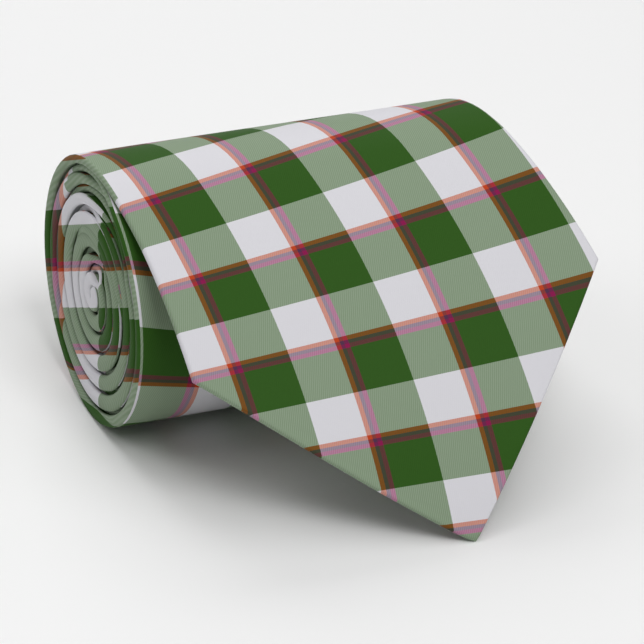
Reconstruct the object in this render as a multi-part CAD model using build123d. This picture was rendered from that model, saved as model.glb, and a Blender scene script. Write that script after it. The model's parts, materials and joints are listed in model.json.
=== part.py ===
"""A rolled necktie: the tie is wound into a roll that lies on its side, and the wide blade
comes off the top of the roll and slopes forward until its point touches the surface below.

Frame: +Z up, +X along the roll's axis towards the end where the tie narrows, -Y forward, where
the blade points.  The origin is on the resting surface, under the middle of the roll's foot.
Every sub-part is written to parts/NODE.step.  Lengths are in millimetres, angles in degrees.
"""
from build123d import *
import os
from math import acos, cos, degrees, hypot, pi, radians, sin

# ---- the tie, laid flat ----
BLADE_WIDTH = 101.6          # across the corners of the wide blade
POINT_DEPTH = 52.0           # from the line of the corners to the point
EDGE_TAPER = 3.5             # angle of each edge just above the corners
NECK_WIDTH = 38.0            # narrowest, behind the collar
TAIL_WIDTH = 50.0            # at the tail's end
HEM = 11.0                   # fabric turned to the back along the blade's edges
APEX_UP = 80.0               # from the point to where the back panels meet

# ---- its layers, counted inwards from the outer face of a turn ----
FABRIC = 0.35                # woven polyester
CORE_THICK = 1.1             # interlining
PLAY = 0.05                  # between the interlining and the fabric round it
LAYER = 2 * FABRIC + CORE_THICK + 2 * PLAY
LINING = 0.25                # tipping
FOLD = 1.0                   # fabric folded round the interlining's edge
POINT_SLANT = hypot(BLADE_WIDTH / 2, POINT_DEPTH) / (BLADE_WIDTH / 2)
OUTLINE_TOP = 110.0          # up from the point, past the leaving line, where outlines end

# ---- the roll ----
ROLL_RADIUS = 31.0
PITCH = 2.26                 # from one turn to the next
HALF_TURNS = 26
ROLL_WIDTH = 90.0            # between the flush end and the middle of the outer turn's edge
EDGE_START = 95.0            # width of the outermost turn where the blade leaves it
NARROWING = 0.0663           # width lost per millimetre wound in
FOOT_DEPTH = 0.2             # flattened off the underside where the roll rests
NECK_FROM = 8                # half-turn where the neck piece is joined to the blade piece
TAIL_FROM = 13               # half-turn where the tail piece is joined to the neck piece
CLOSED_END = 0.12            # of a half-turn, fabric closed across the tail's end

# ---- what is sewn on the back, each place in half-turns or from the flush end ----
KEEPER_FROM = 1.49
KEEPER_TURN = 0.17
KEEPER_REACH = 22.0          # to each side of the middle
LABEL_FROM = 15.2
LABEL_TURN = 0.9
LABEL_SIDES = (8.0, 30.0)
TIPPING_FROM = 22.2
TIPPING_SIDES = (3.0, 46.0)
TACK_TURNS = (21.5, 21.8)
TACK_SIDES = (20.0, 28.0)
THREAD_ENDS = 0.05           # of a half-turn, left clear at each join
THREAD = 0.3                 # half the width of the slip stitch
BLADE_TACK_UP = (82.0, 84.0) # from the point
BLADE_TACK_REACH = 4.0       # to each side of the middle

# ---- the blade that comes off the roll ----
LEAVE_ANGLE = 17.3           # from the top of the roll forward to where the blade leaves it
BLADE_RADIUS = 116.0         # of the blade's slow curve down to the surface
SKEW = 6.9                   # the blade's turn towards +X
TIP_X = 60.4                 # the point's distance from the roll's flush end
TIP_LIFT = 0.1               # of the point's outer face above the resting surface
POINT_REST = 0.05            # the point's back is pressed flat this far above the surface
BEND_FROM_TIP = 33.0         # from the point up to the line where the tip curls
JOINT_GAP = 0.3              # left open at each bending line

LEFT = -ROLL_WIDTH / 2
AXIS_Z = ROLL_RADIUS - FOOT_DEPTH
FAR = 160.0                  # longer than anything here

os.makedirs("parts", exist_ok=True)


def leave_direction():
    """Unit (y, z) from the roll's axis to the line where the blade leaves it."""
    return -sin(radians(LEAVE_ANGLE)), cos(radians(LEAVE_ANGLE))


def on_circle(centre, radius, angle):
    """Point in the plane of the roll's end, with angle forward from straight up."""
    return Vector(LEFT, centre[0] - radius * sin(radians(angle)), centre[1] + radius * cos(radians(angle)))


# ---------------------------------------------------------------- the roll
def turn_circle(index):
    """Centre and outer radius of one half-turn of the two-centre spiral."""
    out_y, out_z = leave_direction()
    shift = PITCH / 2 if index % 2 else 0.0
    return (-shift * out_y, AXIS_Z - shift * out_z), ROLL_RADIUS - index * PITCH / 2


def turn_arcs(depth, start, end):
    """Arcs of the spiral at a depth inside the outer face, start and end in half-turns."""
    arcs = []
    index = int(start)
    while index < end:
        centre, radius = turn_circle(index)
        first = LEAVE_ANGLE - 180 * max(start, index)
        last = LEAVE_ANGLE - 180 * min(end, index + 1)
        stops = [on_circle(centre, radius - depth, a) for a in (first, (first + last) / 2, last)]
        arcs.append(Edge.make_three_point_arc(*stops))
        index += 1
    return arcs


def band_between(outer, inner, low, high):
    """Solid between two chains of arcs, from low to high along X, measured from the flush end."""
    close_far = Edge.make_line(outer[-1] @ 1, inner[-1] @ 1)
    close_near = Edge.make_line(inner[0] @ 0, outer[0] @ 0)
    face = Face(Wire([*outer, close_far, *inner, close_near]))
    return extrude(Pos(low, 0, 0) * face, amount=high - low, dir=(1, 0, 0))


def turn_band(top, bottom, start, end, low=0.0, high=FAR):
    """One strip of the spiral between two depths."""
    return band_between(turn_arcs(top, start, end), turn_arcs(bottom, start, end), low, high)


def width_at(radius):
    """Width of the tie in the roll at a radius from the axis."""
    wound = pi * (ROLL_RADIUS ** 2 - radius ** 2) / PITCH
    return max(NECK_WIDTH, EDGE_START - NARROWING * wound)


def edge_profile(scale=1.0, inset=0.0):
    """(x, radius) points of the roll's stepped end, from the axis outwards."""
    tail_radius = 6.0
    neck_radius = 8.0
    points = [(TAIL_WIDTH, 0.0), (TAIL_WIDTH, tail_radius), (NECK_WIDTH, neck_radius)]
    points += [(width_at(radius), radius) for radius in (17.5, 20.0, 23.0, 26.0, 28.5, 31.0, 33.0)]
    return [(LEFT + x * scale - inset, AXIS_Z + radius) for x, radius in points]


def turned(points):
    """Solid turned about the roll's axis from (x, z) points above it."""
    face = Face(Wire.make_polygon([Vector(x, 0, z) for x, z in points], close=True))
    return revolve(face, Axis((0, 0, AXIS_Z), (1, 0, 0)), 360)


def beyond_edge(inset=0.0):
    """Everything past the tie's far edge, to cut a band to the tie's width."""
    edge = edge_profile(inset=inset)
    return turned(edge + [(LEFT + FAR + 1, edge[-1][1]), (LEFT + FAR + 1, AXIS_Z)])


def centre_sheet(half_width):
    """Thin sheet that follows the middle of the tie through the whole roll."""
    near = edge_profile(scale=0.5, inset=half_width)
    far = edge_profile(scale=0.5, inset=-half_width)
    return turned(near + far[::-1])


def below(height):
    """Everything under a height."""
    return Pos(0, 0, height - FAR / 2) * Box(2 * FAR, 2 * FAR, FAR)


def one(shape):
    """The single solid of a shape."""
    solids = shape.solids()
    if len(solids) != 1:
        raise ValueError(f"{len(solids)} solids where one was meant")
    return solids[0]


def roll_shell(start, end, closed_end=False):
    """Outer fabric of the roll from one half-turn to another: a flat tube round the interlining."""
    cavity_end = end - CLOSED_END if closed_end else end
    body = turn_band(0, LAYER, start, end) - beyond_edge()
    cavity = turn_band(FABRIC, LAYER - FABRIC, start, cavity_end, low=FOLD) - beyond_edge(FOLD)
    return one(body - cavity - below(0))


def roll_interlining():
    depth = FABRIC + PLAY
    margin = FOLD + PLAY
    return one(turn_band(depth, depth + CORE_THICK, 0, HALF_TURNS - 0.2, low=margin) - beyond_edge(margin))


def on_back(start, end, low, high, thickness=0.25):
    """A small strip that lies on the back of a turn."""
    return turn_band(LAYER + PLAY, LAYER + PLAY + thickness, start, end, low, high)


def keeper():
    """Loop for the tail on the back of the blade, with a row of stitches at each end."""
    end = KEEPER_FROM + KEEPER_TURN
    middle = width_at(ROLL_RADIUS - KEEPER_FROM * PITCH / 2) / 2
    low = middle - KEEPER_REACH
    high = middle + KEEPER_REACH
    loop = on_back(KEEPER_FROM, end, low, high, 0.3)
    rows = [one(on_back(KEEPER_FROM, end, x, x + 0.8, 0.3)) for x in (low - 0.9, high + 0.1)]
    return one(loop), Compound(rows)


def care_label():
    """Blank care label on the back of the tail, with a stitch row at each side."""
    end = LABEL_FROM + LABEL_TURN
    low, high = LABEL_SIDES
    label = on_back(LABEL_FROM, end, low, high, 0.2)
    rows = [one(on_back(LABEL_FROM, end, x, x + 0.5, 0.25)) for x in (low - 0.6, high + 0.1)]
    return one(label), Compound(rows)


def neck_seams():
    """Thread on the back of the two joins between the pieces of outer fabric."""
    rows = []
    for join in (NECK_FROM, TAIL_FROM):
        radius = ROLL_RADIUS - join * PITCH / 2
        along = 0.5 / (pi * radius)
        rows.append(one(on_back(join, join + along, FOLD, FAR) - beyond_edge(FOLD)))
    return Compound(rows)


def slip_stitch():
    """The long thread up the centre of the back, in runs between what is sewn over it."""
    clear = THREAD_ENDS
    after_keeper = KEEPER_FROM + KEEPER_TURN + 2 * clear
    after_label = LABEL_FROM + LABEL_TURN + 2 * clear
    starts = (clear, after_keeper, NECK_FROM + clear, TAIL_FROM + clear, after_label)
    before_tack = TACK_TURNS[0] - 0.5
    ends = (KEEPER_FROM - clear, NECK_FROM - clear, TAIL_FROM - clear, LABEL_FROM - clear, before_tack)
    sheet = centre_sheet(THREAD)
    runs = []
    for start, end in zip(starts, ends):
        band = turn_band(LAYER + PLAY, LAYER + 0.25, start, end)
        runs.append(one(band & sheet))
    return Compound(runs)


def roll_parts():
    loop, loop_stitches = keeper()
    label, label_stitches = care_label()
    return {
        "blade_shell_roll": roll_shell(0, NECK_FROM),
        "neck_shell": roll_shell(NECK_FROM, TAIL_FROM),
        "tail_shell": roll_shell(TAIL_FROM, HALF_TURNS, closed_end=True),
        "interlining_roll": roll_interlining(),
        "slip_stitch_roll": slip_stitch(),
        "tail_tipping": one(on_back(TIPPING_FROM, HALF_TURNS - 0.1, *TIPPING_SIDES)),
        "tail_bar_tack": one(on_back(*TACK_TURNS, *TACK_SIDES, 0.3)),
        "keeper_loop": loop,
        "keeper_stitches": loop_stitches,
        "care_label": label,
        "label_stitches": label_stitches,
        "neck_seam_stitches": neck_seams(),
    }


# ---------------------------------------------------------------- the blade off the roll
def blade_centre():
    """Centre of the blade's curve, in line with the roll's axis and the leaving line."""
    out_y, out_z = leave_direction()
    back = ROLL_RADIUS - BLADE_RADIUS
    return back * out_y, AXIS_Z + back * out_z


def blade_reach():
    """Length of the blade from the leaving line to the point on the surface."""
    end = acos((TIP_LIFT - blade_centre()[1]) / BLADE_RADIUS)
    return BLADE_RADIUS * (end - radians(LEAVE_ANGLE))


def blade_angle(along):
    return LEAVE_ANGLE + degrees(along / BLADE_RADIUS)


def blade_band(top, bottom, start, end):
    """Strip of the blade's curve between two depths, start and end along it from the leaving line."""
    angles = [blade_angle(s) for s in (start, (start + end) / 2, end)]
    outer, inner = [
        [Edge.make_three_point_arc(*[on_circle(blade_centre(), BLADE_RADIUS - depth, a) for a in angles])]
        for depth in (top, bottom)
    ]
    return band_between(outer, inner, -20, FAR)


def flat_point(across, up):
    """(x, along) on the curved blade of a point of the flat blade: across from its middle line,
    up from its point."""
    skew = radians(SKEW)
    x = TIP_X + across * cos(skew) - up * sin(skew)
    return x, blade_reach() - across * sin(skew) - up * cos(skew)


def cutting_plane():
    """Plane square to the blade's middle slope, in which its outline is cut."""
    slope = radians(blade_angle(blade_reach() / 2))
    return Plane(origin=(0, 0, 0), x_dir=(1, 0, 0), z_dir=(0, -sin(slope), cos(slope)))


def in_plane(x, along):
    """A point of the curved blade as a local point of the cutting plane."""
    local = cutting_plane().to_local_coords(on_circle(blade_centre(), BLADE_RADIUS, blade_angle(along)))
    return Vector(LEFT + x, local.Y, 0)


def prism(corners):
    """Solid square to the cutting plane whose sides join the corners, each a flat-blade point."""
    edges = []
    for first, last in zip(corners, corners[1:] + corners[:1]):
        middle = ((first[0] + last[0]) / 2, (first[1] + last[1]) / 2)
        stops = [in_plane(*flat_point(*point)) for point in (first, middle, last)]
        edges.append(Edge.make_three_point_arc(*stops))
    face = cutting_plane().location * Face(Wire(edges))
    return extrude(face, amount=FAR, both=True)


def outline(inset=0.0):
    """Corners of the flat blade, pulled in by inset, from the point round to the left."""
    half = BLADE_WIDTH / 2 - inset
    top = half - (OUTLINE_TOP - POINT_DEPTH) * sin(radians(EDGE_TAPER))
    return [
        (0, inset * POINT_SLANT),
        (-half, POINT_DEPTH),
        (-top, OUTLINE_TOP),
        (top, OUTLINE_TOP),
        (half, POINT_DEPTH),
    ]


def back_window(inset=0.0):
    """Corners of the opening between the back panels, where the tipping shows."""
    half = BLADE_WIDTH / 2 - HEM - inset
    low = (HEM + inset) * POINT_SLANT
    return [(0, low), (-half, POINT_DEPTH), (0, APEX_UP - inset * POINT_SLANT), (half, POINT_DEPTH)]


def blade_layers(start, end):
    """Outer fabric, interlining and tipping of the blade between two distances along it."""
    back = LAYER - FABRIC
    shell = blade_band(0, LAYER, start, end) & prism(outline())
    shell -= blade_band(FABRIC, back, start - 1, end + 1) & prism(outline(FOLD))
    shell -= blade_band(back - PLAY, LAYER + 1, start - 1, end + 1) & prism(back_window())
    depth = FABRIC + PLAY
    core = blade_band(depth, depth + CORE_THICK, start, end) & prism(outline(FOLD + PLAY))
    lining = blade_band(back, back + LINING, start, end) & prism(back_window(0.2))
    return [one(layer - below(POINT_REST)) for layer in (shell, core, lining)]


def blade_parts():
    reach = blade_reach()
    bend = reach - BEND_FROM_TIP
    half_gap = JOINT_GAP / 2
    apron = blade_layers(JOINT_GAP, bend - half_gap)
    tip = blade_layers(bend + half_gap, reach)
    low, high = BLADE_TACK_UP
    side = BLADE_TACK_REACH
    seam_from = APEX_UP + 6
    top = OUTLINE_TOP
    seam = prism([(-THREAD, seam_from), (-THREAD, top), (THREAD, top), (THREAD, seam_from)])
    tack = prism([(-side, low), (-side, high), (side, high), (side, low)])
    return {
        "blade_shell_apron": apron[0],
        "interlining_apron": apron[1],
        "blade_tipping_apron": apron[2],
        "slip_stitch_apron": one(blade_band(LAYER, LAYER + 0.2, 2.0, bend) & seam),
        "front_bar_tack": one(blade_band(LAYER, LAYER + 0.3, 2.0, bend) & tack),
        "blade_shell_tip": tip[0],
        "interlining_tip": tip[1],
        "blade_tipping_tip": tip[2],
    }


def report_lengths():
    wound = sum(pi * (turn_circle(k)[1] - LAYER / 2) for k in range(HALF_TURNS))
    reach = blade_reach()
    lift = on_circle(blade_centre(), BLADE_RADIUS, LEAVE_ANGLE)
    bend = on_circle(blade_centre(), BLADE_RADIUS, blade_angle(reach - BEND_FROM_TIP))
    print(f"wound {wound:.0f}, blade {reach:.1f}, whole tie {wound + reach:.0f}")
    print(f"blade_lift axis {tuple(round(v, 2) for v in lift)}")
    print(f"tip_bend axis {tuple(round(v, 2) for v in bend)}")


if __name__ == "__main__":
    report_lengths()
    for name, shape in {**roll_parts(), **blade_parts()}.items():
        export_step(shape, f"parts/{name}.step")
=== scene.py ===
import json
from math import atan2, cos, pi, radians, sin

import bpy
import numpy as np
from bpy.props import FloatProperty, FloatVectorProperty, PointerProperty
from bpy.types import Operator, Panel, PropertyGroup
from mathutils import Matrix, Vector


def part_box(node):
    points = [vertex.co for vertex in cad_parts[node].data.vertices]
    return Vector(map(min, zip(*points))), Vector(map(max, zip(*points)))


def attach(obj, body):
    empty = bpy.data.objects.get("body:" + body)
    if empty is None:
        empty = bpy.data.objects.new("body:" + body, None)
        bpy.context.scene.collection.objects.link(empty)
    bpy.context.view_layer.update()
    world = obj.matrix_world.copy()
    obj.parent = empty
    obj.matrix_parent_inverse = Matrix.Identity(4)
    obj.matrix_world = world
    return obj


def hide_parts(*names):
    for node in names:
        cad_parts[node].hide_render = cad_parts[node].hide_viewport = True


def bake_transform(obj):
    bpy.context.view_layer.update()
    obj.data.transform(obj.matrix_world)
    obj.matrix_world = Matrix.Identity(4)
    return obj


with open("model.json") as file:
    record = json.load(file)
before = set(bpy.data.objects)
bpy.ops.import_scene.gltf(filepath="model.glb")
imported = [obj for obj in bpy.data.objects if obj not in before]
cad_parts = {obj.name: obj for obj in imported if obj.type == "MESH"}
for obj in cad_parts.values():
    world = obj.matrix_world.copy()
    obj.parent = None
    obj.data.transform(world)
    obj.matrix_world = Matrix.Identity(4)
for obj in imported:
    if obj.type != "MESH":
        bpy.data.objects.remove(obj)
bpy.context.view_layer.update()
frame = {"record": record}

bl_info = {
    "name": "Rolled Necktie",
    "version": (1, 0, 0),
    "blender": (4, 5, 0),
    "location": "3D View > Sidebar > Necktie",
    "description": "Dresses the frame of a rolled necktie in plaid twill, lining and thread",
    "category": "Object",
}

MM = 0.001

# ---- the tie laid flat, in metres; s runs from the point of the wide blade to the tail ----
BLADE_HALF = 50.8 * MM       # half the width across the corners
POINT_DEPTH = 52 * MM        # from the corners' line to the point
NECK_HALF = 19 * MM
TAIL_HALF = 25 * MM
ROLL_HALF = 47.5 * MM        # where the blade leaves the roll
NARROWING = 0.0663 / 2       # lost from the half-width per metre wound in
HEM = 11 * MM                # turned to the back along the blade's edges
HEMS_PART = 1.42 * HEM       # s where the point's two hems come apart
TAIL_WIDENS = 120 * MM       # from the tail's end to where it starts to widen
TAIL_FULL = 60 * MM          # and to where it has its full width
APEX = 80 * MM               # where the two back panels come together

# ---- layers, as depth below the outer face of a turn ----
FABRIC = 0.35 * MM
LAYER = 1.9 * MM
CORE_TOP = 0.42 * MM
CORE_BOTTOM = 1.18 * MM
LINING_TOP = 1.24 * MM
LINING_BOTTOM = 1.5 * MM
ON_BACK = LAYER + 0.04 * MM  # top of what is sewn on the back
THREAD_DEPTH = LAYER + 0.05 * MM
EDGE_GAP = 0.15 * MM         # from the middle of the back to each panel's edge
PITCH = 2.26 * MM            # from one turn of the roll to the next
HALF_TURNS = 26
NECK_FROM = 8                # half-turn where the neck piece starts
TAIL_FROM = 13               # half-turn where the tail piece starts

# ---- the roll and the blade, read from the frame ----
ROLL_LOW, ROLL_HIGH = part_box("blade_shell_roll")
HINGES = {joint["name"]: Vector(joint["pos_m"]) for joint in frame["record"]["behaviour"]["joints"]}
LEFT = ROLL_LOW.x
ROLL_RADIUS = ROLL_HIGH.y
AXIS_Z = ROLL_HIGH.z - ROLL_RADIUS
LEAVE = atan2(-HINGES["blade_lift"].y, HINGES["blade_lift"].z - AXIS_Z) - 0.15 * MM / ROLL_RADIUS
BLADE_RADIUS = 116 * MM
SKEW = radians(6.9)          # the blade's turn, its point away from the flush end
SKEWED = 85 * MM             # s where the blade starts to come square to the roll
SQUARE = 150 * MM            # and is square to it
CENTRED = (80 * MM, 125 * MM)    # its middle line comes to the middle of the turns
TAKEN_UP = (40 * MM, 95 * MM)    # the skewed length is taken up
TIP_X = 60.4 * MM            # from the flush end to the point
REACH = 95 * MM              # from the leaving line to the point, along the blade

# ---- the plaid, as shares of its repeat and the colour settings that start there ----
SETT = [(0.0, "ground"), (0.435, "orange"), (0.478, "violet"), (0.513, "plum"), (0.555, "green")]
PLUM_MIDDLE = 0.534          # middle of the plum line
REPEAT = 25.6 * MM
PLAID_UNIT = 50 * MM         # unit of length in the plaid's formulas on the blade
BLADE_PLAID_END = -30 * MM   # along, where the blade's plaid starts to straighten out
CROSSING_X = 13.1 * MM       # a crossing of plum lines on the front of the roll
CROSSING_ALONG = -140.9 * MM

# ---- bending zones, as distance along from the leaving line, and the bodies on either side ----
LIFT = ((-8 * MM, 9 * MM), "roll", "blade")
CURL = ((51 * MM, 73 * MM), "blade", "tip")

# ---- changes from one mesh or mapping to the next, and the lie of the cloth ----
SPLIT = 70 * MM              # s of the seamless change from one mesh to the next on the blade
ROLL_SPLIT = 120 * MM        # s of the same change on the roll
FOOT = 201 * MM              # s where the outermost turn meets the floor
BOW = 2.2 * MM               # the point's left edge curves outwards a little
REST = 0.05 * MM             # the point's back lies this far above the floor

# ---- what is sewn on the back, placed in half-turns wound in ----
KEEPER_AT = 1.49
KEEPER_HALF = 22 * MM
KEEPER_LENGTH = 16 * MM
LABEL_AT = 15.2
LABEL_HALF = 11 * MM
LABEL_LENGTH = 30 * MM
SEAM_OUT = 0.5 * MM          # from an edge to the stitch row beside it
TAIL_LINING_AT = 22
TAIL_TACK_AT = 21.5
SLIP_STITCH_END = 21

# ---- rows of points across the folded cloth ----
BACK_COUNT = 8               # on each back panel
FOLD_COUNT = 9               # round each fold


# ------------------------------------------------------------------ shape of the tie
def half_turn_lengths():
    """Wound length, at mid layer, at the start of each half-turn."""
    radii = ROLL_RADIUS - np.arange(HALF_TURNS) * PITCH / 2 - LAYER / 2
    return np.concatenate([[0], np.cumsum(pi * radii)])


WOUND = half_turn_lengths()
LENGTH = REACH + WOUND[-1]
NECK_AT = REACH + (ROLL_HALF - NECK_HALF) / NARROWING


def place(x, along, depth):
    """Points on the rolled tie: x from the flush end, along from the leaving line (negative into
    the roll) and depth below the outer face."""
    x, along, depth = np.broadcast_arrays(x, along, depth)
    turns = np.clip(np.interp(-along, WOUND, np.arange(HALF_TURNS + 1.0)), 0, HALF_TURNS - 1e-9)
    index = np.floor(turns)
    shift = np.where(index % 2 == 1, PITCH / 2, 0)
    on_blade = along >= 0
    angle = np.where(on_blade, LEAVE + along / BLADE_RADIUS, LEAVE - pi * turns)
    radius = np.where(on_blade, BLADE_RADIUS, ROLL_RADIUS - index * PITCH / 2) - depth
    back = np.where(on_blade, ROLL_RADIUS - BLADE_RADIUS, -shift)
    y = -back * sin(LEAVE) - radius * np.sin(angle)
    z = AXIS_Z + back * cos(LEAVE) + radius * np.cos(angle)
    return np.stack([LEFT + x, y, z], axis=-1)


def half_width(s):
    """Half the tie's width at s, pointed at the wide end and a little wider again at the tail."""
    return np.interp(s, [0, POINT_DEPTH, REACH, NECK_AT, LENGTH - TAIL_WIDENS, LENGTH - TAIL_FULL],
                     [0, BLADE_HALF, ROLL_HALF, NECK_HALF, NECK_HALF, TAIL_HALF])


def s_at(half_turns):
    """Distance from the point to a place given in half-turns wound in."""
    return REACH + float(np.interp(half_turns, np.arange(HALF_TURNS + 1), WOUND))


def ease(value, low, high):
    """0 below low, 1 above high, and a smooth step between them."""
    t = np.clip((value - low) / (high - low), 0, 1)
    return t * t * (3 - 2 * t)


def lay(across, s):
    """(x, along) of a point of the flat tie, across from its middle line at s from the point.  The
    blade lies skewed and comes square to the roll as it is wound in."""
    tilt = SKEW * (1 - ease(s, SKEWED, SQUARE))
    on_blade = TIP_X - s * sin(SKEW)
    in_roll = half_width(s)
    middle = on_blade + (in_roll - on_blade) * ease(s, *CENTRED)
    run = np.where(s < SKEWED, s * cos(SKEW), SKEWED * cos(SKEW) + (s - SKEWED))
    run = run + (REACH - SKEWED * cos(SKEW) - 10 * MM) * ease(s, *TAKEN_UP)
    return middle + across * np.cos(tilt), REACH - run - across * np.sin(tilt)


def back_edge(s):
    """Distance from the middle line to the edge of each back panel: 0 above the apex."""
    wide = BLADE_HALF - HEM
    rising = (s - HEMS_PART) / (POINT_DEPTH - HEMS_PART) * wide
    falling = (APEX - s) / (APEX - POINT_DEPTH) * wide
    return np.maximum(0, np.minimum(rising, falling))


# ------------------------------------------------------------------ the plaid's place on the cloth
def plaid_on_blade(x, along):
    """(column, row) in repeats on the blade and over the top of the roll, with a whole number at
    each crossing of the plum lines.  The cloth is eased on the curve, so rows close up slightly
    towards the point."""
    over = x / PLAID_UNIT - 1
    down = along / PLAID_UNIT
    column = 2.627 + 1.998 * over - 0.300 * down - 0.044 * over * down + 0.054 * down ** 2
    row = 1.134 + 0.410 * over + 1.871 * down - 0.284 * over * down + 0.130 * down ** 2
    return column, row


def plaid_on_roll(x, along):
    """(column, row) on the front of the roll under the blade and on everything inside it, where
    the plaid is the other way up.  The cloth is eased where it turns under the roll."""
    eased = along - 0.4 * np.maximum(along + 138 * MM, 0) - 0.25 * (x - CROSSING_X)
    return (CROSSING_X - x) / REPEAT, (CROSSING_ALONG - eased) / REPEAT


def plaid_outside(x, along):
    """(column, row) on the blade, over the roll and down its back, where the rows come level."""
    column, row = plaid_on_blade(x, np.maximum(along, BLADE_PLAID_END))
    beyond = np.minimum(along - BLADE_PLAID_END, 0)
    row = row + 1.871 * beyond / PLAID_UNIT
    level = 1.134 + 1.871 * along / PLAID_UNIT
    square = 2.817 + 1.998 * (x / PLAID_UNIT - 1)
    settle = ease(-along, 25 * MM, 95 * MM)
    return column + (square - column) * settle, row + (level - row) * settle


def plaid_on_end(points, along):
    """On the folds at the roll's flush end, where the plaid is drawn level across them all: the
    column, the row, the column where only green shows, and whether it does, which is on the
    outermost folds and over the top."""
    behind = points[..., 1] / MM
    height = (points[..., 2] - AXIS_Z) / MM
    column = 0.089 + 0.0189 * behind - 0.0013 * height - PLUM_MIDDLE
    outer_row = 0.241 + 0.0189 * behind + 0.0356 * height - PLUM_MIDDLE
    inner_row = 0.186 + 0.0249 * behind + 0.0470 * height - PLUM_MIDDLE
    turns = np.interp(-along, WOUND, np.arange(HALF_TURNS + 1.0)) / 2
    row = np.where(turns < 2.9, outer_row, inner_row)
    row = row - np.where(turns < 1, 0.06 * np.maximum(-height - 25, 0), 0)
    green = 0.78 + 0.005 * behind - PLUM_MIDDLE
    only_green = (turns < 1) | ((turns < 3.6) & (height > 12) & (behind < 17))
    return column, row, green, only_green


# ------------------------------------------------------------------ mesh helpers
def mesh_object(name, points, faces, material, uv=None, ring=2):
    """Mesh object at the origin from points in the shared frame, smooth except for the end faces
    of a swept ring."""
    mesh = bpy.data.meshes.new(name)
    mesh.from_pydata(np.asarray(points).reshape(-1, 3).tolist(), [], faces)
    if uv is not None:
        layer = mesh.uv_layers.new(name="UVMap")
        layer.data.foreach_set("uv", np.asarray(uv, np.float32).ravel())
    mesh.materials.append(material)
    swept = len(faces) - (ring - 2)
    mesh.polygons.foreach_set("use_smooth", [index < swept for index in range(len(faces))])
    if ring > 2:
        ends = np.array([edge.vertices[:] for edge in mesh.edges]) // ring
        last = len(mesh.vertices) // ring - 1
        sharp = (ends[:, 0] == ends[:, 1]) & ((ends[:, 0] == 0) | (ends[:, 0] == last))
        mesh.edges.foreach_set("use_edge_sharp", sharp)
    mesh.update()
    item = bpy.data.objects.new(name, mesh)
    bpy.context.scene.collection.objects.link(item)
    return item


def tube_faces(stations, ring):
    """Quads of a closed ring swept through stations.  The ring goes out along one face of the
    cloth and comes back along the other, so each end is closed by a row of quads, listed last."""
    faces = []
    for i in range(stations - 1):
        for j in range(ring):
            k = (j + 1) % ring
            faces.append((i * ring + j, (i + 1) * ring + j, (i + 1) * ring + k, i * ring + k))
    last = (stations - 1) * ring
    corners = [(j, j + 1, ring - 2 - j, ring - 1 - j) for j in range(ring // 2 - 1)]
    far_corners = [tuple(last + corner for corner in reversed(four)) for four in corners]
    return faces + corners + far_corners


EDGE_ROWS = np.array([0.25, 0.6, 1.0, 1.5, 2.1, 2.8]) * MM   # rows of points beside each fold


def across_rows(low, high, count):
    """Points from low to high across the cloth, crowded near low, for every station."""
    most = (high - low) * np.linspace(0.1, 0.6, len(EDGE_ROWS))[:, None]
    near = np.minimum(EDGE_ROWS[:, None], most)
    t = np.linspace(0, 1, count + 1)[1:, None]
    first = low + near[-1]
    return np.concatenate([[low], low + near, first + (high - first) * t])


def fold_path(half, edge, skin, counts, swell):
    """(across, depth) of one face of the cloth round the tie: from the left back panel's edge,
    round the left fold, over the front and round to the right back panel's edge.  skin is 0 for
    the outer face and 1 for the inner one.  The left fold swells by swell, outwards and inwards."""
    back_count, fold_count, front_count = counts
    round_off = np.minimum(LAYER / 2, half)
    flat = np.maximum(half - round_off, 0.02 * MM)
    radius = round_off - skin * FABRIC * np.minimum(1, round_off / (LAYER / 2))
    edge = np.minimum(edge, flat)
    backs = across_rows(-flat, -edge, back_count)[::-1]
    angle = np.linspace(0, pi, fold_count + 2)[1:-1, None]
    folds = -flat - radius * np.sin(angle) ** 0.8
    fold_depth = LAYER / 2 + radius * np.cos(angle)
    lefts = across_rows(-flat, 0 * flat, front_count)
    fronts = np.concatenate([lefts, -lefts[-2::-1]])
    across = np.concatenate([backs, folds, fronts, -folds[::-1], -backs[::-1]])
    back_depth = LAYER / 2 + radius + 0 * backs
    front_depth = LAYER / 2 - radius + 0 * fronts
    depth = np.concatenate([back_depth, fold_depth, front_depth, fold_depth[::-1], back_depth])
    near_edge = 1 - ease(across + half, 0.9 * MM, 2.1 * MM)
    side = (depth - LAYER / 2) / (LAYER / 2)
    depth = depth + near_edge * side * np.where(side > 0, swell[1], swell[0])
    return across.T, depth.T


def turns_wound(s):
    """Turns wound in at s, from 0 at the leaving line."""
    return np.interp(s - REACH, WOUND, np.arange(HALF_TURNS + 1.0)) / 2


def stations_between(start, end):
    """Values of s from start to end, close enough together for the roll's tightening turns."""
    values = [start]
    while values[-1] < end - 0.05 * MM:
        s = values[-1]
        radius = ROLL_RADIUS - float(turns_wound(s)) * PITCH
        step = 1.2 * MM if s < REACH else radius * radians(5.5)
        if s < POINT_DEPTH < s + step:
            step = POINT_DEPTH - s
        values.append(min(end, s + max(step, 0.12 * MM)))
    return np.array(values)


def banding(s):
    """1 on turns whose fold stands out at the flush end and swells over its neighbours, -1 on
    those that it covers, changing over from one to the other as the folds were laid."""
    turns = turns_wound(s)
    drift = 0.12 * np.sin(2.3 * turns + 0.7)
    return np.tanh(3.2 * np.sin(pi * (turns + drift))) * ease(turns, 0.05, 0.35)


def end_shift(s):
    """How far the fold lies in from the flush end: covered turns and small unevenness."""
    inside = ease(s, 100 * MM, 180 * MM)
    wave = 0.3 * np.sin(s / (61 * MM)) + 0.2 * np.sin(s / (23 * MM) + 1) + 0.1 * np.sin(s / (9 * MM))
    return inside * (np.maximum(0, wave + 0.2) + 1.9 * np.maximum(0, -banding(s))) * MM


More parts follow.
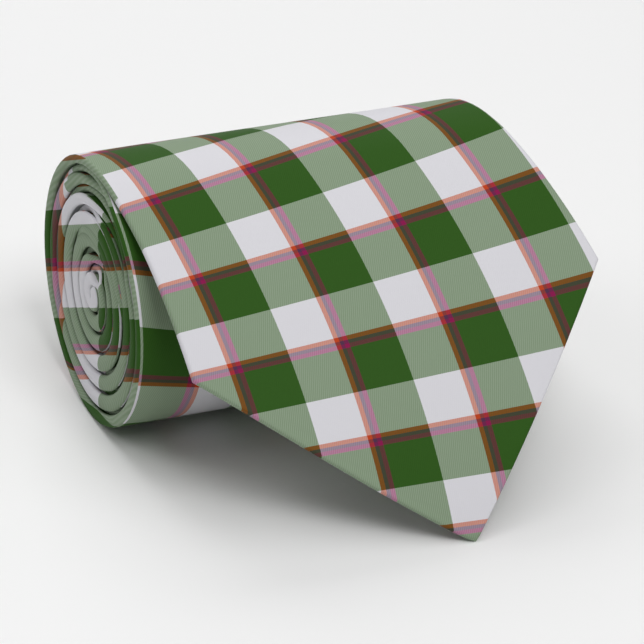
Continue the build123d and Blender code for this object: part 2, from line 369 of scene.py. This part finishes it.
def end_swell(s):
    """(outwards, inwards) swelling of the left fold: the outermost turn swells only inwards."""
    swell = 0.95 * MM * np.maximum(0, banding(s))
    return swell * ease(turns_wound(s), 0.9, 1.5), swell


def fabric_rings(s, front_count):
    """(across, depth) of the fabric's closed section at each station: out along its outer face and
    back along its inner one."""
    half = half_width(s)
    edge = back_edge(s) + EDGE_GAP
    counts = (BACK_COUNT, FOLD_COUNT, front_count)
    outer = fold_path(half, edge, 0, counts, end_swell(s))
    inner = fold_path(half, edge, 1, counts, end_swell(s))
    return [np.concatenate([outer[i], inner[i][:, ::-1]], axis=1) for i in (0, 1)]


def fabric_uv(s, x, along, depth, points, faces, across):
    """The plaid's place at each corner of each face, in repeats."""
    ring = across.shape[1]
    left_edge, right_edge = x.min(axis=1, keepdims=True), x.max(axis=1, keepdims=True)
    on_back = depth > LAYER / 2
    cloth_x = np.where(on_back & (across < 0), 2 * left_edge - x, x)
    cloth_x = np.where(on_back & (across > 0), 2 * right_edge - x, cloth_x)
    outside = np.stack(plaid_outside(cloth_x, along), axis=-1).reshape(-1, 2)
    wound = np.stack(plaid_on_roll(cloth_x, along), axis=-1).reshape(-1, 2)
    column, row, green, only_green = plaid_on_end(points, along)
    ends = np.stack([column, row], axis=-1).reshape(-1, 2)
    green_ends = np.stack([green, row], axis=-1).reshape(-1, 2)
    only_green = only_green.ravel()
    first_fold = BACK_COUNT + len(EDGE_ROWS) + 1
    fold_ring = np.zeros(ring, bool)
    fold_ring[first_fold - len(EDGE_ROWS):first_fold + FOLD_COUNT] = True
    uv = []
    for face in faces:
        station = min(face) // ring
        source = wound if s[station] > FOOT else outside
        in_fold = all(fold_ring[index % ring] for index in face)
        if in_fold and s[station] > REACH + 3 * MM:
            source = green_ends if only_green[face[0]] else ends
        uv += [source[index] for index in face]
    return uv


def fabric_piece(name, s, material, front_count):
    """A length of the outer fabric: cloth 0.35 mm thick, folded to the back at both edges."""
    across, depth = fabric_rings(s, front_count)
    x, along = lay(across, s[:, None])
    leftness = np.clip(-across / np.maximum(half_width(s)[:, None], MM), 0, 1)
    x = x + end_shift(s)[:, None] * leftness ** 4
    bow = BOW * np.sin(pi * np.clip(s / POINT_DEPTH, 0, 1) ** 0.75)[:, None]
    x = x - bow * leftness
    points = place(x, along, depth)
    points[..., 2] = np.maximum(points[..., 2], REST)
    ring = across.shape[1]
    faces = tube_faces(len(s), ring)
    uv = fabric_uv(s, x, along, depth, points, faces, across)
    return mesh_object(name, points, faces, material, uv, ring)


def length_at(s, depth):
    """Length of the cloth between stations, measured at its own depth in the roll."""
    path = place(0.0, REACH - s, depth)
    return float(np.linalg.norm(np.diff(path, axis=0), axis=1).sum())


def strip_piece(name, s, left, right, top, bottom, material, count=17):
    """A flat strip inside the tie, from left to right of the middle line, between two depths."""
    t = np.linspace(0, 1, count)
    across = left[:, None] + (right - left)[:, None] * t
    across = np.concatenate([across, across[:, ::-1]], axis=1)
    depth = np.repeat([bottom, top], count)[None, :]
    x, along = lay(across, s[:, None])
    points = place(x, along, depth)
    points[..., 2] = np.maximum(points[..., 2], REST)
    faces = tube_faces(len(s), 2 * count)
    flat = np.stack([x, along], axis=-1).reshape(-1, 2)
    uv = [flat[index] for face in faces for index in face]
    return mesh_object(name, points, faces, material, uv, 2 * count)


def bend_with(item, zone, parent, child):
    """Bakes a piece's place into its mesh. The ends of the zone, given along the blade's outer face, are
    worked out but the piece is not bent, and the bodies on either side are not used.
    """
    start, end = [Vector(place(0.0, np.float64(at), 0.0)) for at in zone]
    start.x = end.x = 0
    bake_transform(item)


def finish_piece(item, motion, nodes):
    """Attaches a piece to the body it moves with, or bakes its place into its mesh when the motion is a
    zone, and hides the nodes it replaces. The motion is a body's name, or a zone with the bodies on either
    side of it."""
    if isinstance(motion, str):
        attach(item, motion)
    else:
        bend_with(item, *motion)
    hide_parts(*nodes)


# ------------------------------------------------------------------ materials
GAMMA = 2.2
BUMP = 0.05 * MM             # height of the threads in the woven materials


def linear(hex_colour):
    """Linear RGBA from an sRGB hex colour."""
    parts = [int(hex_colour[i:i + 2], 16) / 255 for i in (1, 3, 5)]
    return [p / 12.92 if p <= 0.04045 else ((p + 0.055) / 1.055) ** 2.4 for p in parts] + [1.0]


def add(tree, kind, inputs=None, **settings):
    """One node with its settings, and its inputs given as values, as sockets to link, or as nodes
    whose first output is linked."""
    node = tree.nodes.new(kind)
    for key, value in settings.items():
        setattr(node, key, value)
    for key, value in (inputs or {}).items():
        if isinstance(value, bpy.types.Node):
            value = value.outputs[0]
        if isinstance(value, bpy.types.NodeSocket):
            tree.links.new(value, node.inputs[key])
        else:
            node.inputs[key].default_value = value
    return node


def new_material(name, **surface):
    """Material with a principled shader whose plain values are set on its own sockets."""
    material = bpy.data.materials.new(name)
    material.use_nodes = True
    tree = material.node_tree
    shader = tree.nodes["Principled BSDF"]
    for key, value in surface.items():
        shader.inputs[key.replace("_", " ")].default_value = value
    return material, tree, shader


def colour_of(name):
    """RGBA of a colour setting."""
    return (*getattr(bpy.context.scene.necktie_colours, name), 1)


def thread_colour(tree, position):
    """Colour of the threads at a position in repeats, brightened by a root so that crossings mix
    as the eye sees them."""
    shifted = add(tree, "ShaderNodeMath", {0: position, 1: PLUM_MIDDLE}, operation="ADD")
    inside = add(tree, "ShaderNodeMath", {0: shifted}, operation="FRACT")
    ramp = add(tree, "ShaderNodeValToRGB", {0: inside})
    ramp.color_ramp.interpolation = "CONSTANT"
    steps = ramp.color_ramp.elements
    while len(steps) < len(SETT):
        steps.new(0.5)
    for step, (at, name) in zip(steps, SETT):
        step.position = at
        step.color = colour_of(name)
    return add(tree, "ShaderNodeGamma", {0: ramp, 1: 1 / GAMMA})


def plaid_polyester_twill():
    """Woven polyester twill in a plaid of dyed threads.  It is smooth and nearly matt with a faint
    sheen, so its colours stay even over the curve; the five stripes cross as flat blocks, and warp
    and weft show as fine slanting ribs where their colours differ."""
    material, tree, shader = new_material(
        "plaid_polyester_twill", Roughness=0.55, Sheen_Weight=0.01, Sheen_Roughness=0.5,
        Specular_IOR_Level=0.06,
    )
    uv = add(tree, "ShaderNodeUVMap", uv_map="UVMap")
    split = add(tree, "ShaderNodeSeparateXYZ", {0: uv})
    warp = thread_colour(tree, split.outputs[0])
    weft = thread_colour(tree, split.outputs[1])
    # Ribs are 0.5 mm apart, about twice the real spacing, so that they still show.
    ribs = REPEAT / bpy.context.scene.necktie_sizes.rib_spacing
    down = add(tree, "ShaderNodeMath", {0: split.outputs[0], 1: ribs}, operation="MULTIPLY")
    sideways = add(tree, "ShaderNodeMath", {0: split.outputs[1], 1: ribs * 0.35}, operation="MULTIPLY")
    slant = add(tree, "ShaderNodeMath", {0: down, 1: sideways}, operation="ADD")
    turn = add(tree, "ShaderNodeMath", {0: slant, 1: 2 * pi}, operation="MULTIPLY")
    wave = add(tree, "ShaderNodeMath", {0: turn}, operation="SINE")
    share = add(tree, "ShaderNodeMath", {0: wave, 1: 0.05, 2: 0.5}, operation="MULTIPLY_ADD")
    mixed = add(tree, "ShaderNodeMix", {0: share, 6: warp, 7: weft}, data_type="RGBA")
    cloth = add(tree, "ShaderNodeGamma", {0: mixed.outputs[2], 1: GAMMA})
    tree.links.new(cloth.outputs[0], shader.inputs["Base Color"])
    height = add(tree, "ShaderNodeBump", {"Height": wave, "Strength": 0.12, "Distance": BUMP})
    tree.links.new(height.outputs[0], shader.inputs["Normal"])
    return material


def plain_cloth(name, setting, thread, roughness, contrast):
    """Plain-woven cloth of one colour whose threads show as a fine grid in both directions."""
    material, tree, shader = new_material(name, Roughness=roughness, Specular_IOR_Level=0.25)
    uv = add(tree, "ShaderNodeUVMap", uv_map="UVMap")
    split = add(tree, "ShaderNodeSeparateXYZ", {0: uv})
    waves = []
    for direction in split.outputs[:2]:
        turn = add(tree, "ShaderNodeMath", {0: direction, 1: 2 * pi / thread}, operation="MULTIPLY")
        waves.append(add(tree, "ShaderNodeMath", {0: turn}, operation="SINE"))
    grid = add(tree, "ShaderNodeMath", dict(enumerate(waves)), operation="MULTIPLY")
    weave = add(tree, "ShaderNodeMath", {0: grid, 1: 0.5, 2: 0.5}, operation="MULTIPLY_ADD")
    fibre = add(tree, "ShaderNodeTexNoise", {"Scale": 900.0, "Detail": 3.0})
    both = add(tree, "ShaderNodeMath", {0: weave, 1: fibre}, operation="ADD")
    factor = add(tree, "ShaderNodeMath", {0: both, 1: contrast}, operation="MULTIPLY")
    base = colour_of(setting)
    dark = (*[c * 0.62 for c in base[:3]], 1)
    tone = add(tree, "ShaderNodeMix", {0: factor, 6: base, 7: dark}, data_type="RGBA")
    tree.links.new(tone.outputs[2], shader.inputs["Base Color"])
    bump = add(tree, "ShaderNodeBump", {"Height": weave, "Strength": 0.2, "Distance": BUMP})
    tree.links.new(bump.outputs[0], shader.inputs["Normal"])
    return material


def wool_interlining():
    """Undyed wool blend, coarsely woven and brushed: cream, quite matt, with an uneven grid of
    thick threads."""
    return plain_cloth("wool_interlining", "interlining", 0.7 * MM, 0.95, 0.35)


def polyester_lining():
    """Piece-dyed polyester lining, plain-woven of fine filament: deep green and smooth, with a
    satin gleam and hardly a thread to be seen."""
    return plain_cloth("polyester_lining", "lining", 0.3 * MM, 0.45, 0.2)


def satin_label():
    """Blank woven satin label: off-white and even, with the softest gleam of all the cloths."""
    return plain_cloth("satin_label", "label", 0.25 * MM, 0.4, 0.1)


def sewing_thread():
    """Spun polyester sewing thread: matt, with the twist of its plies as fine stripes."""
    material, tree, shader = new_material("sewing_thread", Roughness=0.75)
    place_at = add(tree, "ShaderNodeTexCoord").outputs["Object"]
    twist = add(tree, "ShaderNodeTexWave", {"Vector": place_at, "Scale": 900.0, "Distortion": 2.0})
    plies = {0: twist.outputs[1], 6: colour_of("thread_dark"), 7: colour_of("thread_light")}
    tone = add(tree, "ShaderNodeMix", plies, data_type="RGBA")
    tree.links.new(tone.outputs[2], shader.inputs["Base Color"])
    return material


def made_once(maker):
    """The material that a maker makes, made the first time and found again after that."""
    return bpy.data.materials.get(maker.__name__) or maker()


# ------------------------------------------------------------------ stitches
def stitch_tree():
    """Node tree that lays stitches along a path: an instance of one stitch at each spacing."""
    if "stitches_along_path" in bpy.data.node_groups:
        return bpy.data.node_groups["stitches_along_path"]
    tree = bpy.data.node_groups.new("stitches_along_path", "GeometryNodeTree")
    face = tree.interface
    face.new_socket("Geometry", in_out="INPUT", socket_type="NodeSocketGeometry")
    for name in ("Spacing", "Stitch Length", "Thread Thickness"):
        face.new_socket(name, in_out="INPUT", socket_type="NodeSocketFloat")
    face.new_socket("Material", in_out="INPUT", socket_type="NodeSocketMaterial")
    face.new_socket("Geometry", in_out="OUTPUT", socket_type="NodeSocketGeometry")
    given = tree.nodes.new("NodeGroupInput").outputs
    curve = add(tree, "GeometryNodeMeshToCurve", {"Mesh": given["Geometry"]})
    spacing = {"Curve": curve, "Length": given["Spacing"]}
    spaced = add(tree, "GeometryNodeResampleCurve", spacing, mode="LENGTH")
    ball = add(tree, "GeometryNodeMeshUVSphere", {"Segments": 8, "Rings": 6, "Radius": 0.5})
    thickness = given["Thread Thickness"]
    size = add(tree, "ShaderNodeCombineXYZ", {0: given["Stitch Length"], 1: thickness, 2: thickness})
    stitch = add(tree, "GeometryNodeTransform", {"Geometry": ball, "Scale": size})
    tangent = add(tree, "GeometryNodeInputTangent")
    normal = add(tree, "GeometryNodeInputNormal")
    along = add(
        tree, "FunctionNodeAxesToRotation", {"Primary Axis": tangent, "Secondary Axis": normal},
        primary_axis="X", secondary_axis="Z",
    )
    placed = add(
        tree, "GeometryNodeInstanceOnPoints", {"Points": spaced, "Instance": stitch, "Rotation": along}
    )
    real = add(tree, "GeometryNodeRealizeInstances", {"Geometry": placed})
    done = add(tree, "GeometryNodeSetMaterial", {"Geometry": real, "Material": given["Material"]})
    tree.links.new(done.outputs[0], tree.nodes.new("NodeGroupOutput").inputs[0])
    return tree


def stitches(name, path, spacing, length, thickness):
    """Stitches laid along a path of points, as one plain mesh."""
    edges = [(i, i + 1) for i in range(len(path) - 1)]
    guide_mesh = bpy.data.meshes.new(name + "_path")
    guide_mesh.from_pydata([tuple(p) for p in path], edges, [])
    guide = bpy.data.objects.new(name + "_path", guide_mesh)
    bpy.context.scene.collection.objects.link(guide)
    tree = stitch_tree()
    modifier = guide.modifiers.new("stitches", "NODES")
    modifier.node_group = tree
    values = {
        "Spacing": spacing, "Stitch Length": length, "Thread Thickness": thickness,
        "Material": made_once(sewing_thread),
    }
    for socket in tree.interface.items_tree:
        if socket.item_type == "SOCKET" and socket.in_out == "INPUT" and socket.name in values:
            modifier[socket.identifier] = values[socket.name]
    seen = guide.evaluated_get(bpy.context.evaluated_depsgraph_get())
    mesh = bpy.data.meshes.new_from_object(seen)
    mesh.name = name
    guide.modifiers.remove(modifier)
    bpy.data.objects.remove(guide)
    item = bpy.data.objects.new(name, mesh)
    bpy.context.scene.collection.objects.link(item)
    mesh.polygons.foreach_set("use_smooth", [True] * len(mesh.polygons))
    if not len(mesh.polygons):
        raise RuntimeError(f"{name} has no stitches")
    return item


def path_on(s, across):
    """Path along the back of the tie, through points of the flat tie."""
    x, along = lay(np.asarray(across, float), np.asarray(s, float))
    return place(x, along, THREAD_DEPTH)


def tack_path(start, length, reach):
    """Path of a bar tack: to and fro across the tie while it creeps along by length."""
    s = start + np.repeat(np.linspace(0, length, 12), 2)
    across = np.tile([-reach, reach, reach, -reach], 6)
    corners = np.arange(len(s))
    fine = np.linspace(0, len(s) - 1, 93)
    return path_on(np.interp(fine, corners, s), np.interp(fine, corners, across))


def joined(name, items):
    """One object from several."""
    bpy.ops.object.select_all(action="DESELECT")
    for item in items:
        item.select_set(True)
    bpy.context.view_layer.objects.active = items[0]
    bpy.ops.object.join()
    items[0].name = name
    return items[0]


def rows_beside(name, at, half, length, count, thickness):
    """The two rows of stitches that hold a strip's long edges to the back."""
    rows = []
    for side in (-half, half):
        s = s_at(at) + np.linspace(0, length / MM, count) * MM
        rows.append(stitches("row", path_on(s, 0 * s + side), 1.6 * MM, 1.2 * MM, thickness))
    return joined(name, rows)


# ------------------------------------------------------------------ settings
def size_setting(label, description, value):
    """A length setting with its default."""
    return FloatProperty(name=label, description=description, default=value, min=0.0, unit="LENGTH")


def colour_setting(label, description, hex_colour):
    """A colour setting with its default."""
    return FloatVectorProperty(
        name=label, description=description, default=linear(hex_colour)[:3], size=3, subtype="COLOR"
    )


class TieSizes(PropertyGroup):
    """Sizes that a user would change."""
    rib_spacing: size_setting("Twill ribs", "From one slanting rib of the twill to the next", 0.5 * MM)
    stitch_gap: size_setting("Slip stitch spacing", "From one slip stitch up the back to the next", 6 * MM)
    stitch_length: size_setting("Slip stitch length", "Length of one slip stitch", 2.4 * MM)
    thread: size_setting("Thread thickness", "Diameter of the sewing thread", 0.28 * MM)


class TieColours(PropertyGroup):
    """Colours that a user would change."""
    ground: colour_setting("Ground", "Silver white stripes of the plaid", "#d6d5da")
    orange: colour_setting("Orange line", "Thin orange line beside the violet one", "#b9421f")
    violet: colour_setting("Violet line", "Thin dark violet line of the plaid", "#50304a")
    plum: colour_setting("Plum line", "Thin plum line beside the green stripes", "#86184b")
    green: colour_setting("Green", "Deep green stripes of the plaid", "#2f551b")
    interlining: colour_setting("Interlining", "Undyed wool inside the tie", "#d9d3c4")
    lining: colour_setting("Lining", "Lining behind the two ends", "#33532a")
    label: colour_setting("Label", "Blank care label", "#e4e4e0")
    thread_dark: colour_setting("Thread, dark ply", "Darker ply of the sewing thread", "#2c4a1e")
    thread_light: colour_setting("Thread, light ply", "Lighter ply of the sewing thread", "#3d6129")
    floor: colour_setting("Floor", "Colour of the floor and backdrop", "#f1f1f1")


# ------------------------------------------------------------------ pieces
class NECKTIE_OT_fabric(Operator):
    """Makes the outer fabric of the blade, neck and tail"""
    bl_idname = "necktie.fabric"
    bl_label = "Outer fabric"

    def execute(self, context):
        cloth = made_once(plaid_polyester_twill)
        neck = s_at(NECK_FROM)
        tail = s_at(TAIL_FROM)
        plan = [
            ("blade_fabric_point", 0.15 * MM, SPLIT, "blade_shell_tip", CURL, 16),
            ("blade_fabric_apron", SPLIT, ROLL_SPLIT, "blade_shell_apron", LIFT, 16),
            ("blade_fabric_roll", ROLL_SPLIT, neck, "blade_shell_roll", "roll", 6),
            ("neck_fabric", neck, tail, "neck_shell", "roll", 6),
            ("tail_fabric", tail, LENGTH, "tail_shell", "roll", 6),
        ]
        for name, start, end, node, motion, front_count in plan:
            s = stations_between(start, end)
            item = fabric_piece(name, s, cloth, front_count)
            finish_piece(item, motion, [node])
        return {"FINISHED"}


class NECKTIE_OT_interlining(Operator):
    """Makes the interlining that runs the length of the tie"""
    bl_idname = "necktie.interlining"
    bl_label = "Interlining"

    def execute(self, context):
        wool = made_once(wool_interlining)
        plan = [
            ("interlining_point", 3 * MM, SPLIT, "interlining_tip", CURL),
            ("interlining_apron_strip", SPLIT, ROLL_SPLIT, "interlining_apron", LIFT),
            ("interlining_wound", ROLL_SPLIT, LENGTH - 3 * MM, "interlining_roll", "roll"),
        ]
        for name, start, end, node, motion in plan:
            s = stations_between(start, end)
            half = np.maximum(half_width(s) - 2.2 * MM, 0.3 * MM)
            item = strip_piece(name, s, end_shift(s) - half, half, CORE_TOP, CORE_BOTTOM, wool)
            finish_piece(item, motion, [node])
        return {"FINISHED"}


class NECKTIE_OT_tipping(Operator):
    """Makes the lining behind the blade's point and at the tail"""
    bl_idname = "necktie.tipping"
    bl_label = "Tipping"

    def execute(self, context):
        lining = made_once(polyester_lining)
        s = stations_between(9 * MM, APEX + 3 * MM)
        wide = np.minimum(back_edge(s) + 4 * MM, half_width(s) - 3 * MM)
        wide = np.maximum(wide, 0.5 * MM)
        item = strip_piece("blade_lining", s, -wide, wide, LINING_TOP, LINING_BOTTOM, lining, 21)
        finish_piece(item, CURL, ["blade_tipping_apron", "blade_tipping_tip"])

        s = stations_between(s_at(TAIL_LINING_AT) + 1 * MM, LENGTH - 1.5 * MM)
        wide = np.full(len(s), 20 * MM)
        item = strip_piece("tail_lining", s, -wide, wide, ON_BACK, LAYER + 0.2 * MM, lining)
        finish_piece(item, "roll", ["tail_tipping"])
        length_at(s, LAYER + 0.12 * MM)
        return {"FINISHED"}


class NECKTIE_OT_loop_and_label(Operator):
    """Makes the keeper loop and the blank care label on the back of the tie"""
    bl_idname = "necktie.loop_and_label"
    bl_label = "Loop and label"

    def execute(self, context):
        plan = [
            ("keeper_band", KEEPER_AT, KEEPER_HALF, KEEPER_LENGTH, 0.3 * MM, plaid_polyester_twill,
             "keeper_loop", "plaid_twill", "blade_fabric_roll"),
            ("blank_label", LABEL_AT, LABEL_HALF, LABEL_LENGTH, 0.22 * MM, satin_label,
             "care_label", "label", "tail_fabric"),
        ]
        for name, at, half, length, below, maker, node, slot, under in plan:
            s = stations_between(s_at(at), s_at(at) + length)
            side = np.full(len(s), half)
            item = strip_piece(name, s, -side, side, ON_BACK, LAYER + below, made_once(maker))
            finish_piece(item, "roll", [node])
        return {"FINISHED"}


class NECKTIE_OT_stitching(Operator):
    """Makes the slip stitch, bar tacks and the small stitch rows"""
    bl_idname = "necktie.stitching"
    bl_label = "Stitching"

    def execute(self, context):
        sizes = context.scene.necktie_sizes
        thread = sizes.thread
        slip = (sizes.stitch_gap, sizes.stitch_length, thread)
        s = stations_between(ROLL_SPLIT + 2 * MM, s_at(SLIP_STITCH_END))
        item = stitches("slip_stitches_wound", path_on(s, 0 * s), *slip)
        finish_piece(item, "roll", ["slip_stitch_roll"])
        s = stations_between(APEX + 6 * MM, ROLL_SPLIT - 1 * MM)
        item = stitches("slip_stitches_apron", path_on(s, 0 * s), *slip)
        finish_piece(item, LIFT, ["slip_stitch_apron"])

        path = tack_path(APEX + 1.5 * MM, 3 * MM, 3.5 * MM)
        item = stitches("bar_tack_wide_end", path, 1.7 * MM, 2 * MM, thread)
        finish_piece(item, "blade", ["front_bar_tack"])
        path = tack_path(s_at(TAIL_TACK_AT), 3 * MM, 3 * MM)
        item = stitches("bar_tack_tail", path, 1.5 * MM, 1.8 * MM, thread)
        finish_piece(item, "roll", ["tail_bar_tack"])

        beside = KEEPER_HALF + SEAM_OUT
        item = rows_beside("keeper_stitch_rows", KEEPER_AT, beside, KEEPER_LENGTH, 12, thread)
        finish_piece(item, "roll", ["keeper_stitches"])
        beside = LABEL_HALF + SEAM_OUT
        item = rows_beside("label_stitch_rows", LABEL_AT, beside, LABEL_LENGTH, 24, thread * 0.7)
        finish_piece(item, "roll", ["label_stitches"])

        rows = []
        for at in (NECK_FROM, TAIL_FROM):
            reach = float(half_width(np.float64(s_at(at)))) - 2 * MM
            across = np.linspace(-reach, reach, 30)
            rows.append(stitches("row", path_on(0 * across + s_at(at), across), 2 * MM, 1.6 * MM, thread))
        item = joined("neck_join_rows", rows)
        finish_piece(item, "roll", ["neck_seam_stitches"])
        return {"FINISHED"}


# ------------------------------------------------------------------ stage
WORLD_LIGHT = 0.25
FLOOR_EDGE = 3.0             # metres from the middle to each side
LAMPS = [                    # name, place in metres, side in metres, watts
    ("overhead", (0.0, 0.0, 1.3), 0.8, 2.8),
    ("front", (0.0, -0.85, 1.2), 0.6, 7.9),
    ("front_right", (0.6, -0.75, 1.0), 0.6, 1.7),
    ("left", (-0.9, 0.1, 1.0), 0.6, 2.0),
    ("back", (0.0, 1.1, 0.9), 0.9, 7.4),
]
LAMP_TARGET = Vector((0, -0.02, 0.03))
CAMERA_AZIMUTH = radians(25.175)
CAMERA_ELEVATION = radians(29.375)
CAMERA_ROLL = radians(3.41)
CAMERA_TARGET = Vector((1.274, -23.633, 27.774)) * MM
CAMERA_DISTANCE = 934.8 * MM
LENS = 234.8                 # millimetres, on a sensor 36 mm wide
SENSOR = 36


def lamp(name, at, size, power):
    """Square area lamp that faces the tie."""
    data = bpy.data.lights.new(name, "AREA")
    data.size = size
    data.energy = power
    item = bpy.data.objects.new(name, data)
    item.location = at
    item.rotation_mode = "QUATERNION"
    item.rotation_quaternion = (LAMP_TARGET - at).to_track_quat("-Z", "Y")
    bpy.context.scene.collection.objects.link(item)


def camera():
    """Camera above the front left of the tie, turned slightly on its own axis."""
    item = bpy.data.objects.new("camera", bpy.data.cameras.new("camera"))
    bpy.context.scene.collection.objects.link(item)
    bpy.context.scene.camera = item
    level = cos(CAMERA_ELEVATION)
    forward = Vector((sin(CAMERA_AZIMUTH) * level, cos(CAMERA_AZIMUTH) * level, -sin(CAMERA_ELEVATION)))
    sideways = Vector((cos(CAMERA_AZIMUTH), -sin(CAMERA_AZIMUTH), 0))
    up = cos(CAMERA_ROLL) * sideways.cross(forward) - sin(CAMERA_ROLL) * sideways
    matrix = Matrix((forward.cross(up), up, -forward)).transposed().to_4x4()
    matrix.translation = CAMERA_TARGET - forward * CAMERA_DISTANCE
    item.matrix_world = matrix
    item.data.sensor_width = SENSOR
    item.data.lens = LENS
    item.data.clip_end = 20


class NECKTIE_OT_stage(Operator):
    """Makes the floor, the studio light and the camera"""
    bl_idname = "necktie.stage"
    bl_label = "Stage"

    def execute(self, context):
        scene = context.scene
        scene.view_settings.view_transform = "Standard"
        # Pale seamless paper: quite matt, so that it takes soft shadows and no reflection.
        material, _, shader = new_material("pale_paper", Roughness=0.9, Specular_IOR_Level=0.0)
        shader.inputs["Base Color"].default_value = colour_of("floor")
        corners = [(x * FLOOR_EDGE, y * FLOOR_EDGE, 0) for x, y in ((-1, -1), (1, -1), (1, 1), (-1, 1))]
        mesh_object("floor", corners, [(0, 1, 2, 3)], material)

        world = bpy.data.worlds.new("soft_room")
        scene.world = world
        world.use_nodes = True
        world.node_tree.nodes["Background"].inputs[0].default_value = (1, 1, 1, 1)
        world.node_tree.nodes["Background"].inputs[1].default_value = WORLD_LIGHT
        for name, at, size, power in LAMPS:
            lamp(name, Vector(at), size, power)
        camera()
        return {"FINISHED"}


class NECKTIE_PT_panel(Panel):
    """Sizes, colours and steps of the necktie"""
    bl_idname = "NECKTIE_PT_panel"
    bl_label = "Necktie"
    bl_space_type = "VIEW_3D"
    bl_region_type = "UI"
    bl_category = "Necktie"

    def draw(self, context):
        layout = self.layout
        for group in (context.scene.necktie_sizes, context.scene.necktie_colours):
            for name in group.__annotations__:
                layout.prop(group, name)
        for step in STEPS:
            layout.operator(step.bl_idname)


STEPS = (
    NECKTIE_OT_stage, NECKTIE_OT_fabric, NECKTIE_OT_interlining, NECKTIE_OT_tipping,
    NECKTIE_OT_loop_and_label, NECKTIE_OT_stitching,
)
CLASSES = (TieSizes, TieColours, *STEPS, NECKTIE_PT_panel)


def register():
    for item in CLASSES:
        bpy.utils.register_class(item)
    bpy.types.Scene.necktie_sizes = PointerProperty(type=TieSizes)
    bpy.types.Scene.necktie_colours = PointerProperty(type=TieColours)


def unregister():
    del bpy.types.Scene.necktie_colours
    del bpy.types.Scene.necktie_sizes
    for item in reversed(CLASSES):
        bpy.utils.unregister_class(item)


def main():
    register()
    for step in STEPS:
        group, name = step.bl_idname.split(".")
        getattr(getattr(bpy.ops, group), name)()


if __name__ == "__main__":
    main()
